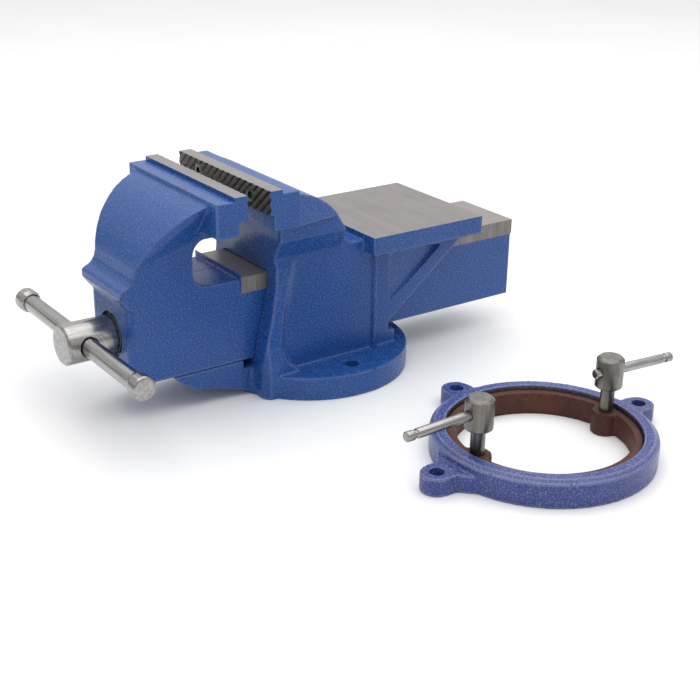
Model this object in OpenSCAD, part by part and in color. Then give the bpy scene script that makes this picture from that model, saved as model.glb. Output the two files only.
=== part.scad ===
// Bench vise, 150 mm jaws, with its swivel base ring lying beside it.
// Origin: centre of the round base flange, on its underside.
// +Z up, +Y from the handle towards the anvil, X along the jaws.

/* [Jaws] */
// Width of the jaws and of the jaw plates
jaw_w = 150; // [146:1:156]
// Opening between the gripping faces
jaw_gap = 20.2; // [5:0.1:24]
// Thickness of a jaw plate
plate_t = 12; // [11:0.5:13]
// Height of a jaw plate
plate_h = 20.4; // [19:0.2:22]
// Height of the lower edge of the jaw plates
plate_z = 171; // [170:0.5:172]
// Y of the fixed gripping face
fixed_face_y = -86; // [-87:0.5:-85]
// Height of the top of both jaw blocks
block_top_z = 188.3; // [187:0.1:190]
// Distance of the jaw plate screws from the middle
screw_x = 42.5; // [30:0.5:55]

/* [Slide beam] */
// Half the width over the machined side rails of the beam
rail_half = 36.6; // [36.3:0.1:36.8]
// Half the width of the painted cheeks and beam
cheek_half = 36; // [35:0.1:36.1]
// Lower edge of the beam
beam_z0 = 33.5; // [33:0.1:34]
// Top of the machined beam
beam_z1 = 108.8; // [108:0.1:109.5]
// Rear end of the beam
beam_rear_y = 208.5; // [190:0.5:215]
// Front face of the moving jaw
front_y = -194.5; // [-196:0.5:-193]
// Clearance between the beam and its tunnel
slide_gap = 0.3; // [0.1:0.05:0.4]

/* [Base flange] */
// Diameter of the base flange
base_d = 180; // [176:1:190]
// Thickness of the base flange
base_t = 21; // [18:0.5:22]
// Distance between the two clamp holes
base_hole_spacing = 138; // [136:0.5:142]
// Diameter of the clamp holes
base_hole_d = 12.5; // [12:0.1:13.5]

/* [Anvil] */
// Half the width of the anvil
anvil_half = 64.5; // [58:0.5:68]
// Front edge of the anvil
anvil_y0 = 25.5; // [24:0.5:30]
// Rear edge of the anvil
anvil_y1 = 147; // [140:0.5:150]
// Underside of the anvil slab
anvil_z0 = 113.2; // [112:0.1:114]
// Top of the anvil
anvil_z1 = 129.8; // [129:0.1:131]

/* [Spindle and handle] */
// Height of the spindle above the underside
spindle_z = 68.8; // [68:0.1:69.5]
// Diameter of the spindle thread
spindle_d = 24; // [22:0.5:25]
// Diameter of the spindle head
head_d = 34.2; // [33:0.2:36]
// Outer end of the spindle head
head_y = -238.5; // [-242:0.5:-236]
// Inner end of the threaded rod
spindle_end_y = 145; // [120:1:160]
// Place of the handle bar along the spindle
bar_y = -220.5; // [-222:0.5:-219]
// Diameter of the handle bar
bar_d = 15.2; // [14:0.2:16]
// Far end of the handle bar, cap included
bar_x0 = -116.5; // [-130:0.5:-100]
// Near end of the handle bar, cap included
bar_x1 = 112; // [100:1:130]

/* [Swivel base] */
// Centre of the loose swivel base, along the jaws
ring_x = 257; // [250:1:300]
// Centre of the loose swivel base, along the spindle
ring_y = 53; // [40:1:80]
// Outer diameter of the base ring
ring_d = 181; // [180:1:190]
// Inner diameter of the base ring
ring_id = 156; // [154:1:158]
// Height of the base ring
ring_h = 23; // [22:0.5:26]
// Distance of the bench bolt holes from the ring centre
ear_r = 108; // [106:0.5:112]
// Diameter of the bench bolt holes
ear_hole_d = 12; // [11:0.1:13]
// Inner diameter of the clamp ring
clamp_id = 140; // [138:1:142]
// Height of the clamp ring
clamp_h = 19.5; // [18:0.5:20]

/* [Hidden] */
$fn = 64;

PAINT = [0.16, 0.32, 0.62];
IRON = [0.52, 0.50, 0.48];
STEEL = [0.66, 0.65, 0.63];
DARK_IRON = [0.26, 0.24, 0.22];
RED_OXIDE = [0.36, 0.15, 0.12];

past = 1;             // how far a cutting shape runs past what it cuts
fit_gap = 0.05;       // radial clearance of a running fit

jaw_half = jaw_w / 2;
moving_face_y = fixed_face_y - jaw_gap;
plate_top_z = plate_z + plate_h;

// Plate screws: M8 socket cap screws sunk in the plates
screw_z = plate_z + plate_h / 2;
screw_d = 8;
screw_head_d = 13;
screw_head_h = 8;
screw_sink = 8.6;     // depth of the counterbore
screw_len = 15;       // from the seat of the head to the tip
hex_key_d = 7;        // across the corners of the socket

// Moving jaw
moving_block_front = moving_face_y - 28.5;
moving_block_rear = moving_face_y - 7.2;
moving_block_z0 = 159.1;
hood_axis_y = moving_block_front + 19.4;
hood_axis_z = 110;
hood_r = 76.8;
hood_z0 = 133;        // lowest point of the flare
hood_flare = 0.525;   // half width gained for each millimetre of height
hood_undercut_z = 148.5;
throat_front_y = moving_face_y - 29;
throat_z0 = 107.5;
throat_z1 = 148;
throat_r = 13;
front_wall_t = 18.5;
front_edge_r = 8;
rail_front_y = -92.3;
rail_z0 = 95.5;
channel_half = 26;    // the beam is an inverted U
channel_top_z = 96;
hood_core_rear = -147; // the channel runs up into a core inside the hood
hood_core_z = 158;
lip_reach = 6.5;      // how far the bead across the front stands out
lip_z0 = 99;
lip_z1 = 127;

// Fixed body
fixed_block_front = fixed_face_y + 4;
fixed_block_rear = fixed_face_y + 28;
fixed_block_z0 = 157.8;
tunnel_half = rail_half + slide_gap;
tunnel_z0 = beam_z0 - slide_gap;
tunnel_z1 = beam_z1 + slide_gap;
neck_half = 64;
neck_front_y = -69.5;
neck_slope_z0 = 123.2; // the neck slopes in between these heights
neck_slope_z1 = 143;
pillar_foot_half = 57.5; // the pillars draw in towards their tops
pillar_top_half = 51;
pillar_top_z = 115;
pillar_ledge_z = 121.5; // the sloped ledge on each pillar runs into the wall here
wall_half = 48.5;
roof_z = 124;
pillar_front_top = -65;
pillar_front_low = -80.5;
pillar_rear_y = -47;
pillar_clip_r = 95;   // the foot of each pillar follows the flange's rim
back_axis_y = -72;    // the back of the head is an arc about this line
back_axis_z = 110;
back_r = 76;
nose_tip_y = -157;
underside_r = 62;     // hollow under the floor of the body
underside_h = 12;
neck_core = [-52, -14, 150]; // hollow in the neck: front, rear and top
seam_y = 37.7;

// Spindle train
shoulder_y = front_y + 0.3;
washer_t = 3.4;
counterbore_d = 40;
counterbore_h = 4;
wall_inner_y = front_y + front_wall_t;
spring_len = 23;
spring_wire_d = 3;
spring_turns = 5;
spring_steps = 12;    // points on one turn of the spring
flat_washer_t = 3;
pin_d = 5;
pin_y = wall_inner_y + spring_len + flat_washer_t + 4;
bar_hole_d = bar_d + 2.2;
cap_d = 20;
cap_len = 15.5;

// Nut, held down by two bolts through the floor
nut_y0 = -40;
nut_y1 = 10;
nut_half = 21;
nut_foot_half = 24;
nut_foot_h = 10;
nut_top_z = 87;
nut_bolt_d = 12;
nut_bolt_head_d = 21.9; // across the corners
nut_bolt_head_h = 7.5;
nut_bolt_top_z = 51;
nut_bolt_ys = [-28, -2];

// Swivel base parts
ring_step_z = 8.5;      // the clamp ring is wider below this height
ring_step_d = 166;
ear_lobe_r = 13;
ear_h = 15;
ear_angles = [90, 180, 270];
clamp_d = ring_id - 2 * 0.5;
clamp_foot_d = ring_step_d - 2 * 0.5;
clamp_foot_h = 8;
lug_r = 11.5;
lock_r = base_hole_spacing / 2;
lock_d = 11.5;
lock_head_d = 22.6;
lock_head_h = 27;
lock_shank_top_z = 40;
tommy_d = 8;
tommy_len = 80;
tommy_z = lock_shank_top_z + 14;
tommy_hole_d = 8.8;
near_bar_angle = 272;   // direction of the near tommy bar in plan
far_bar_angle = 84;
near_bar_inner = -8;    // place of the bar's inner end from the bolt's axis
far_bar_inner = -15.5;

// A plate cut from a YZ outline, centred on X
module yz_plate(half) {
  translate([-half, 0, 0])
    rotate([90, 0, 90])
      linear_extrude(2 * half) children();
}

// A bar cut from an XZ outline, from y0 to y1
module xz_bar(y0, y1) {
  translate([0, y1, 0])
    rotate([90, 0, 0])
      linear_extrude(y1 - y0) children();
}

module y_cylinder(d, y0, y1, x = 0, z = spindle_z) {
  translate([x, y0, z])
    rotate([-90, 0, 0])
      cylinder(d = d, h = y1 - y0);
}

module x_cylinder(d, x0, x1, y = bar_y, z = spindle_z) {
  translate([x0, y, z])
    rotate([0, 90, 0])
      cylinder(d = d, h = x1 - x0);
}

// A box given by its half width and its ranges along Y and Z
module slab(half, y0, y1, z0, z1) {
  translate([-half, y0, z0]) cube([2 * half, y1 - y0, z1 - z0]);
}

// A box in a 2D outline, by its corners
module area(a, b) {
  translate(a) square(b - a);
}

// A rectangle with two round corners at its low side
module round_nosed(a, b, r) {
  area([a.x + r, a.y], b);
  area([a.x, a.y + r], [a.x + r + past, b.y - r]);
  for (y = [a.y + r, b.y - r]) translate([a.x + r, y]) circle(r);
}

// ---- Fixed jaw and body ----

module base_flange() {
  cylinder(d = base_d, h = base_t, $fn = 128);
}

// The two ribs at the front of the walls, clipped to the flange
module pillars() {
  ledge_half = wall_half - 0.5;
  intersection() {
    yz_plate(pillar_foot_half)
      polygon([
        [pillar_front_low, 0],
        [pillar_front_low, 30],
        [-77.5, 52],
        [-71, 77],
        [-66, 103],
        [pillar_front_top, pillar_ledge_z],
        [pillar_rear_y, pillar_ledge_z],
        [-59, 68],
        [-61, 44],
        [-56, 32],
        [-46, base_t],
        [-46, 0]
      ]);
    xz_bar(-pillar_clip_r, 0)
      polygon([
        [-pillar_foot_half, 0], [-pillar_foot_half, base_t],
        [-pillar_top_half, pillar_top_z], [-ledge_half, pillar_ledge_z],
        [ledge_half, pillar_ledge_z], [pillar_top_half, pillar_top_z],
        [pillar_foot_half, base_t], [pillar_foot_half, 0]
      ]);
    cylinder(r = pillar_clip_r, h = roof_z, $fn = 128);
  }
}

module walls() {
  yz_plate(wall_half)
    polygon([
      [-62, 0],
      [-62, 60],
      [-55, roof_z],
      [anvil_y0 + 2, roof_z],
      [134, anvil_z0 + past],
      [134, 105],
      [55, 41],
      [55, 0]
    ]);
  slab(wall_half, 54, 62, 0, tunnel_z0);
  // parting line down each wall
  for (side = [-1, 1])
    translate([side * wall_half, seam_y, 0]) cylinder(r = 1.5, h = anvil_z0);
}

// Profile of everything in front of the curved back of the head
module head_profile() {
  intersection() {
    translate([back_axis_y, back_axis_z]) circle(back_r, $fn = 128);
    polygon([
      [pillar_front_top, 100], [pillar_front_top, pillar_top_z], [neck_front_y, neck_slope_z1],
      [neck_front_y, block_top_z], [10, block_top_z], [10, 100]
    ]);
  }
}

// The neck draws in below the head to the width of the walls
module neck() {
  intersection() {
    yz_plate(neck_half + past) head_profile();
    xz_bar(neck_front_y - past, 10)
      polygon([
        [-neck_half, 160], [-neck_half, neck_slope_z1], [-wall_half, neck_slope_z0], [-wall_half, 110],
        [wall_half, 110], [wall_half, neck_slope_z0], [neck_half, neck_slope_z1], [neck_half, 160]
      ]);
  }
}

// The head narrows in plan towards the anvil
module head() {
  slab(jaw_half, fixed_block_front, fixed_block_rear, fixed_block_z0, block_top_z);
  intersection() {
    yz_plate(jaw_half) head_profile();
    translate([0, 0, fixed_block_z0])
      linear_extrude(40)
        polygon([
          [-jaw_half, fixed_block_rear - past], [-neck_half, 0], [-neck_half, 10],
          [neck_half, 10], [neck_half, 0], [jaw_half, fixed_block_rear - past]
        ]);
  }
}

// Concave sweep from the back of the head down to the anvil
module head_fillet() {
  sweep_r = 16;
  sweep_y = 18.5;
  yz_plate(wall_half)
    difference() {
      area([-5, anvil_z0 - past], [anvil_y0 + past, roof_z + 10]);
      translate([sweep_y, roof_z + sweep_r]) circle(sweep_r);
      area([sweep_y - 0.5, roof_z], [anvil_y0 + 2, roof_z + 20]);
    }
}

module anvil() {
  slab(anvil_half, anvil_y0, anvil_y1, anvil_z0, anvil_z1);
}

// Tongue under the beam, reaching forward from the flange
module nose() {
  yz_plate(cheek_half)
    polygon([
      [nose_tip_y, tunnel_z0], [-145, 21.5], [-131, 16], [-116, 13.6],
      [-91, 5.7], [-78, 0], [-50, 0], [-50, tunnel_z0]
    ]);
}

// Pocket that leaves a diagonal rib under the anvil, deepest at its rear corner
module rib_pocket(side) {
  corners = [[54, 110], [113, 105], [57, 60.5]]; // front, rear and low corner in Y and Z
  depths = [0.6, 5, 2.6];
  points = concat(
    [for (c = corners) [side * (wall_half + past), c.x, c.y]],
    [for (i = [0:2]) [side * (wall_half - depths[i]), corners[i].x, corners[i].y]]
  );
  hull()
    polyhedron(
      points = points,
      faces = [[0, 1, 2], [3, 5, 4], [0, 3, 4, 1], [1, 4, 5, 2], [2, 5, 3, 0]]
    );
}

module tunnel() {
  slab(tunnel_half, -100, 160, tunnel_z0, tunnel_z1);
}

module fixed_body() {
  color(PAINT)
    difference() {
      union() {
        base_flange();
        pillars();
        walls();
        neck();
        head();
        head_fillet();
        anvil();
        nose();
      }
      tunnel();
      slab(tunnel_half - 4, neck_core[0], neck_core[1], tunnel_z1 - past, neck_core[2]);
      // seat of the jaw plate
      slab(jaw_half + past, -100, fixed_face_y + plate_t, plate_z, 200);
      // slot between the nose and the body
      slab(cheek_half + past, -90, -79.5, 25.5, tunnel_z0 + past);
      translate([0, 0, -past]) cylinder(r = underside_r, h = underside_h + past);
      for (x = [-base_hole_spacing / 2, base_hole_spacing / 2])
        translate([x, 0, -past]) cylinder(d = base_hole_d, h = base_t + 2 * past);
      for (x = [-screw_x, screw_x])
        y_cylinder(screw_d + 2 * fit_gap, -80, fixed_face_y + screw_sink + screw_len + past, x, screw_z);
      for (y = nut_bolt_ys)
        translate([0, y, 0]) cylinder(d = nut_bolt_d + 2 * fit_gap, h = 60);
      for (side = [-1, 1]) rib_pocket(side);
    }
}

// ---- Jaw plates and their screws ----

// face_y is the gripping face, dir points into the jaw
module jaw_plate(face_y, dir) {
  back_y = face_y + dir * plate_t;
  sink_y = face_y + dir * screw_sink;
  out_y = face_y - dir * past;
  through_y = back_y + dir * past;
  difference() {
    slab(jaw_half, min(face_y, back_y), max(face_y, back_y), plate_z, plate_top_z);
    for (x = [-screw_x, screw_x]) {
      y_cylinder(screw_head_d + 0.6, min(out_y, sink_y), max(out_y, sink_y), x, screw_z);
      y_cylinder(screw_d + 0.6, min(sink_y, through_y), max(sink_y, through_y), x, screw_z);
    }
  }
}

module jaw_screws(face_y, dir) {
  seat_y = face_y + dir * screw_sink;
  top_y = seat_y - dir * screw_head_h;
  tip_y = seat_y + dir * screw_len;
  key_y = top_y + dir * screw_head_h / 2;
  key_out_y = top_y - dir * past;
  for (x = [-screw_x, screw_x])
    difference() {
      union() {
        y_cylinder(screw_head_d, min(seat_y, top_y), max(seat_y, top_y), x, screw_z);
        y_cylinder(screw_d, min(seat_y, tip_y), max(seat_y, tip_y), x, screw_z);
      }
      y_cylinder(hex_key_d, min(key_y, key_out_y), max(key_y, key_out_y), x, screw_z, $fn = 6);
    }
}

module fixed_jaw_plate() {
  color(DARK_IRON) jaw_plate(fixed_face_y, 1);
}

module fixed_jaw_screws() {
  color(STEEL) jaw_screws(fixed_face_y, 1);
}

module moving_jaw_plate() {
  color(DARK_IRON) jaw_plate(moving_face_y, -1);
}

module moving_jaw_screws() {
  color(STEEL) jaw_screws(moving_face_y, -1);
}

// ---- Nut ----

module spindle_nut() {
  color(IRON)
    difference() {
      union() {
        slab(nut_foot_half, nut_y0, nut_y1, tunnel_z0, tunnel_z0 + nut_foot_h);
        slab(nut_half, nut_y0, nut_y1, tunnel_z0, spindle_z);
        y_cylinder(2 * (nut_top_z - spindle_z), nut_y0, nut_y1);
      }
      y_cylinder(spindle_d + 4 * fit_gap, nut_y0 - past, nut_y1 + past);
      for (y = nut_bolt_ys)
        translate([0, y, 0]) cylinder(d = nut_bolt_d + 2 * fit_gap, h = nut_bolt_top_z + past);
    }
}

module nut_bolts() {
  color(STEEL)
    for (y = nut_bolt_ys)
      translate([0, y, underside_h]) {
        translate([0, 0, -nut_bolt_head_h])
          cylinder(d = nut_bolt_head_d, h = nut_bolt_head_h, $fn = 6);
        cylinder(d = nut_bolt_d, h = nut_bolt_top_z - underside_h);
      }
}

// ---- Moving jaw ----

// Cheeks, front and the curve over the top, as one outline
module cheek_profile() {
  difference() {
    union() {
      area([front_y, beam_z0], [0, throat_z0]);
      area([front_y, beam_z0], [hood_axis_y, 100]);
      area([hood_axis_y - hood_r + 0.5, 99], [hood_axis_y, hood_axis_z]);
      intersection() {
        translate([hood_axis_y, hood_axis_z]) circle(hood_r - 0.3, $fn = 128);
        area([-200, 100], [hood_axis_y, 190]);
      }
      area([hood_axis_y - past, 100], [moving_block_rear - 2, hood_axis_z + hood_r]);
    }
    round_nosed([throat_front_y, throat_z0], [past, throat_z1], throat_r);
    area([moving_block_rear - 2, throat_z0], [past, 200]);
  }
}

module front_lip() {
  lip_y = front_y - lip_reach;
  polygon([
    [front_y + 6, lip_z1], [front_y + 0.5, lip_z1 - 6.5], [lip_y + 1.5, lip_z1 - 9],
    [lip_y, lip_z1 - 11], [lip_y, lip_z0 + 11.5], [lip_y + 1.5, lip_z0 + 9],
    [front_y, lip_z0 + 2], [front_y + 6, lip_z0]
  ]);
}

// Half width of the hood at height z, along its outer edge
function hood_half(z) = cheek_half + hood_flare * (z - hood_z0);

// One rib of the flare: outer edge on the arc, inner edge on the cheek
function flare_ring(a) =
  let(
    y = hood_axis_y - hood_r * cos(a),
    z = hood_axis_z + hood_r * sin(a),
    inner_z = min(z - 1, hood_undercut_z)
  )
  [[-hood_half(z), y, z], [hood_half(z), y, z], [cheek_half - past, y, inner_z],
   [past - cheek_half, y, inner_z]];

// The curved top of the moving jaw, widening up to the block
module hood() {
  steps = 24;
  first_angle = 17.6;
  last_angle = 79;
  rings = [for (i = [0:steps]) flare_ring(first_angle + (last_angle - first_angle) * i / steps)];
  points = [for (ring = rings) for (p = ring) p];
  sides = [
    for (i = [0:steps - 1]) for (k = [0:3])
      [4 * i + k, 4 * i + (k + 1) % 4, 4 * (i + 1) + (k + 1) % 4, 4 * (i + 1) + k]
  ];
  last = 4 * steps;
  hull()
    polyhedron(
      points = points,
      faces = concat([[3, 2, 1, 0]], sides, [[last, last + 1, last + 2, last + 3]])
    );
}

module front_plan() {
  area([-cheek_half, front_y + front_edge_r], [cheek_half, 0]);
  area([-cheek_half + front_edge_r, front_y], [cheek_half - front_edge_r, 0]);
  for (side = [-1, 1])
    translate([side * (cheek_half - front_edge_r), front_y + front_edge_r]) circle(front_edge_r);
}

module beam() {
  slab(cheek_half, rail_front_y, beam_rear_y, beam_z0, throat_z0);
  slab(rail_half, rail_front_y, beam_rear_y, rail_z0, beam_z1);
}

module moving_jaw() {
  color(PAINT)
    difference() {
      union() {
        intersection() {
          yz_plate(cheek_half) cheek_profile();
          linear_extrude(200) front_plan();
        }
        yz_plate(cheek_half) front_lip();
        hood();
        slab(jaw_half, moving_block_front, moving_block_rear, moving_block_z0, block_top_z - 0.1);
        beam();
      }
      // seat of the jaw plate
      slab(jaw_half + past, moving_face_y - plate_t, -80, plate_z, 200);
      // the beam and the front are one inverted channel
      slab(channel_half, wall_inner_y, beam_rear_y + past, beam_z0 - past, channel_top_z);
      slab(channel_half, wall_inner_y, hood_core_rear, channel_top_z - past, hood_core_z);
      y_cylinder(spindle_d + 2 * fit_gap, front_y - past, wall_inner_y + past);
      y_cylinder(counterbore_d, front_y - past, front_y + counterbore_h);
      for (x = [-screw_x, screw_x])
        y_cylinder(
          screw_d + 2 * fit_gap,
          moving_face_y - screw_sink - screw_len - past, moving_face_y, x, screw_z
        );
    }
}

// ---- Spindle train ----

module spindle() {
  chamfer = 1.5;
  head_r = head_d / 2;
  rod_r = spindle_d / 2;
  color(STEEL)
    difference() {
      translate([0, 0, spindle_z])
        rotate([-90, 0, 0])
          rotate_extrude()
            polygon([
              [0, head_y], [head_r - chamfer, head_y], [head_r, head_y + chamfer],
              [head_r, shoulder_y], [rod_r, shoulder_y],
              [rod_r, spindle_end_y - 2], [rod_r - 2, spindle_end_y], [0, spindle_end_y]
            ]);
      x_cylinder(bar_hole_d, -head_d, head_d);
      x_cylinder(pin_d + 2 * fit_gap, -spindle_d, spindle_d, pin_y);
    }
}

module thrust_washer() {
  color(STEEL)
    difference() {
      y_cylinder(head_d - 1, shoulder_y + 0.1, shoulder_y + 0.1 + washer_t);
      y_cylinder(spindle_d + 4 * fit_gap, shoulder_y - past, shoulder_y + washer_t + past);
    }
}

// One ring of points of the spring wire at turn t
function coil_ring(t) =
  let(
    coil_r = spindle_d / 2 + spring_wire_d / 2 + 1,
    y = wall_inner_y + 0.2 + spring_wire_d / 2
      + (spring_len - 0.6 - spring_wire_d) * t / spring_turns
  )
  [for (k = [0:7])
    let(r = coil_r + spring_wire_d / 2 * cos(45 * k))
    [r * cos(360 * t), y + spring_wire_d / 2 * sin(45 * k), spindle_z + r * sin(360 * t)]];

module spindle_spring() {
  count = spring_turns * spring_steps;
  points = [for (i = [0:count]) for (p = coil_ring(i / spring_steps)) p];
  sides = [
    for (i = [0:count - 1]) for (k = [0:7])
      [8 * i + k, 8 * (i + 1) + k, 8 * (i + 1) + (k + 1) % 8, 8 * i + (k + 1) % 8]
  ];
  color(STEEL)
    polyhedron(
      points = points,
      faces = concat(
        [[for (k = [0:7]) k]], sides, [[for (k = [7:-1:0]) 8 * count + k]]
      )
    );
}

module spring_washer() {
  y0 = wall_inner_y + spring_len;
  color(STEEL)
    difference() {
      y_cylinder(spindle_d + 14, y0, y0 + flat_washer_t);
      y_cylinder(spindle_d + 4 * fit_gap, y0 - past, y0 + flat_washer_t + past);
    }
}

module split_pin() {
  reach = spindle_d / 2 + 6;
  color(STEEL) x_cylinder(pin_d, -reach, reach, pin_y);
}

module handle_bar() {
  color(STEEL) x_cylinder(bar_d, bar_x0 + 2, bar_x1 - 2);
}

// End cap of the handle, pressed on; end is the X of its outer face
module handle_cap(end, dir) {
  r = cap_d / 2;
  translate([end, bar_y, spindle_z])
    rotate([0, -90 * dir, 0])
      difference() {
        rotate_extrude()
          polygon([
            [0, 0], [r - 3, 0], [r - 1.1, 0.8], [r, 3],
            [r, cap_len - 5], [r - 1, cap_len - 1.5], [bar_d / 2 + 0.6, cap_len], [0, cap_len]
          ]);
        translate([0, 0, 2]) cylinder(d = bar_d, h = cap_len);
      }
}

module handle_cap_near() {
  color(STEEL) handle_cap(bar_x1, 1);
}

module handle_cap_far() {
  color(STEEL) handle_cap(bar_x0, -1);
}

// ---- Swivel base ----

module at_ring() {
  translate([ring_x, ring_y, 0]) children();
}

module ear(angle) {
  rotate(angle) {
    translate([ear_r, 0, 0]) cylinder(r = ear_lobe_r, h = ear_h);
    linear_extrude(ear_h)
      polygon([
        [ring_d / 2 - 6, -27], [ear_r - 9, -ear_lobe_r], [ear_r, -ear_lobe_r],
        [ear_r, ear_lobe_r], [ear_r - 9, ear_lobe_r], [ring_d / 2 - 6, 27]
      ]);
  }
}

module swivel_base() {
  bevel = 3.4;
  color(PAINT)
    at_ring()
      difference() {
        union() {
          rotate_extrude($fn = 128)
            polygon([
              [ring_id / 2 - past, 0], [ring_d / 2, 0], [ring_d / 2, ring_h - 3],
              [ring_d / 2 - bevel, ring_h - 1.6], [ring_d / 2 - bevel, ring_h],
              [ring_id / 2 - past, ring_h]
            ]);
          for (angle = ear_angles) ear(angle);
        }
        translate([0, 0, -past]) cylinder(d = ring_id, h = ring_h + 2 * past, $fn = 128);
        translate([0, 0, -past]) cylinder(d = ring_step_d, h = ring_step_z + past, $fn = 128);
        for (angle = ear_angles)
          rotate(angle)
            translate([ear_r, 0, -past]) cylinder(d = ear_hole_d, h = ear_h + 2 * past);
      }
}

module clamp_ring() {
  color(RED_OXIDE)
    at_ring()
      difference() {
        union() {
          cylinder(d = clamp_d, h = clamp_h, $fn = 128);
          cylinder(d = clamp_foot_d, h = clamp_foot_h, $fn = 128);
        }
        difference() {
          translate([0, 0, -past]) cylinder(d = clamp_id, h = clamp_h + 2 * past, $fn = 128);
          for (side = [-1, 1]) lug(side);
        }
        for (side = [-1, 1])
          translate([0, side * lock_r, -past])
            cylinder(d = lock_d + 2 * fit_gap, h = clamp_h + 2 * past);
      }
}

// Thick pad on the inside of the clamp ring that takes a lock bolt
module lug(side) {
  root = 17;
  linear_extrude(clamp_h)
    translate([0, side * lock_r])
      scale([1, side]) {
        circle(lug_r);
        polygon([[-lug_r, 0], [-root, 6], [-root, 12], [root, 12], [root, 6], [lug_r, 0]]);
      }
}

module lock_bolt(side, angle) {
  chamfer = 1.4;
  r = lock_head_d / 2;
  at_ring()
    translate([0, side * lock_r, 0])
      difference() {
        rotate_extrude()
          polygon([
            [0, 0.3], [lock_d / 2 - 1, 0.3], [lock_d / 2, 1.3],
            [lock_d / 2, lock_shank_top_z], [r - 2, lock_shank_top_z],
            [r, lock_shank_top_z + 2], [r, lock_shank_top_z + lock_head_h - chamfer],
            [r - chamfer, lock_shank_top_z + lock_head_h],
            [0, lock_shank_top_z + lock_head_h]
          ]);
        rotate(angle)
          translate([-lock_head_d, 0, tommy_z])
            rotate([0, 90, 0]) cylinder(d = tommy_hole_d, h = 2 * lock_head_d);
      }
}

module lock_bolt_near() {
  color(STEEL) lock_bolt(-1, near_bar_angle);
}

module lock_bolt_far() {
  color(STEEL) lock_bolt(1, far_bar_angle);
}

// Bar with a necked and flattened outer end
module tommy_bar(side, angle, inner) {
  neck_len = 2.5;
  flat_len = 9;
  rod_len = tommy_len - neck_len - flat_len;
  at_ring()
    translate([0, side * lock_r, tommy_z])
      rotate(angle)
        translate([inner, 0, 0]) {
          rotate([0, 90, 0]) cylinder(d = tommy_d, h = rod_len);
          rotate([0, 90, 0]) cylinder(d = tommy_d - 2.6, h = tommy_len - 1);
          translate([rod_len + neck_len, -tommy_d / 2 - 0.6, -tommy_d / 2 + 1])
            cube([flat_len, tommy_d + 1.2, tommy_d - 2]);
        }
}

module tommy_bar_near() {
  color(STEEL) tommy_bar(-1, near_bar_angle, near_bar_inner);
}

module tommy_bar_far() {
  color(STEEL) tommy_bar(1, far_bar_angle, far_bar_inner);
}

fixed_body();
fixed_jaw_plate();
fixed_jaw_screws();
spindle_nut();
nut_bolts();
moving_jaw();
moving_jaw_plate();
moving_jaw_screws();
spindle();
thrust_washer();
spindle_spring();
spring_washer();
split_pin();
handle_bar();
handle_cap_near();
handle_cap_far();
swivel_base();
clamp_ring();
lock_bolt_near();
lock_bolt_far();
tommy_bar_near();
tommy_bar_far();
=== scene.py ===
import bmesh
import bpy
import math
import numpy as np
from mathutils import Matrix, Vector


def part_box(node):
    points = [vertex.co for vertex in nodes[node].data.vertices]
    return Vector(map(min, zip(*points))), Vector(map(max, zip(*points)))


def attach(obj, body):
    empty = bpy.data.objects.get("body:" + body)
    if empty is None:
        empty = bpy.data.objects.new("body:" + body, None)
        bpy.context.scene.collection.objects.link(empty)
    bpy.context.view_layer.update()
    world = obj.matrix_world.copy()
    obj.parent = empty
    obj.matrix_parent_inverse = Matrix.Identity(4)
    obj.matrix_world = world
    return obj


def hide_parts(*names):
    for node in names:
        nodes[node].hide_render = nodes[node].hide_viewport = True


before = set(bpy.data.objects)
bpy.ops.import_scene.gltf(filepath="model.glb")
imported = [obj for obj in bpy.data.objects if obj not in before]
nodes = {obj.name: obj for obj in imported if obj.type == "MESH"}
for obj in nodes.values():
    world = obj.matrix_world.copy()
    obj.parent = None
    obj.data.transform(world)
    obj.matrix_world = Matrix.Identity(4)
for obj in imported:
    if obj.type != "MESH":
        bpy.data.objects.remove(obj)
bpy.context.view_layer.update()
MM = 0.001
X, Y, Z = (1, 0, 0), (0, 1, 0), (0, 0, 1)
scene = bpy.context.scene


def box_mm(node):
    """Lowest and highest corner of a node in millimetres."""
    low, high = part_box(node)
    return np.array(low) / MM, np.array(high) / MM

# ---------------------------------------------------------------- materials

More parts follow.
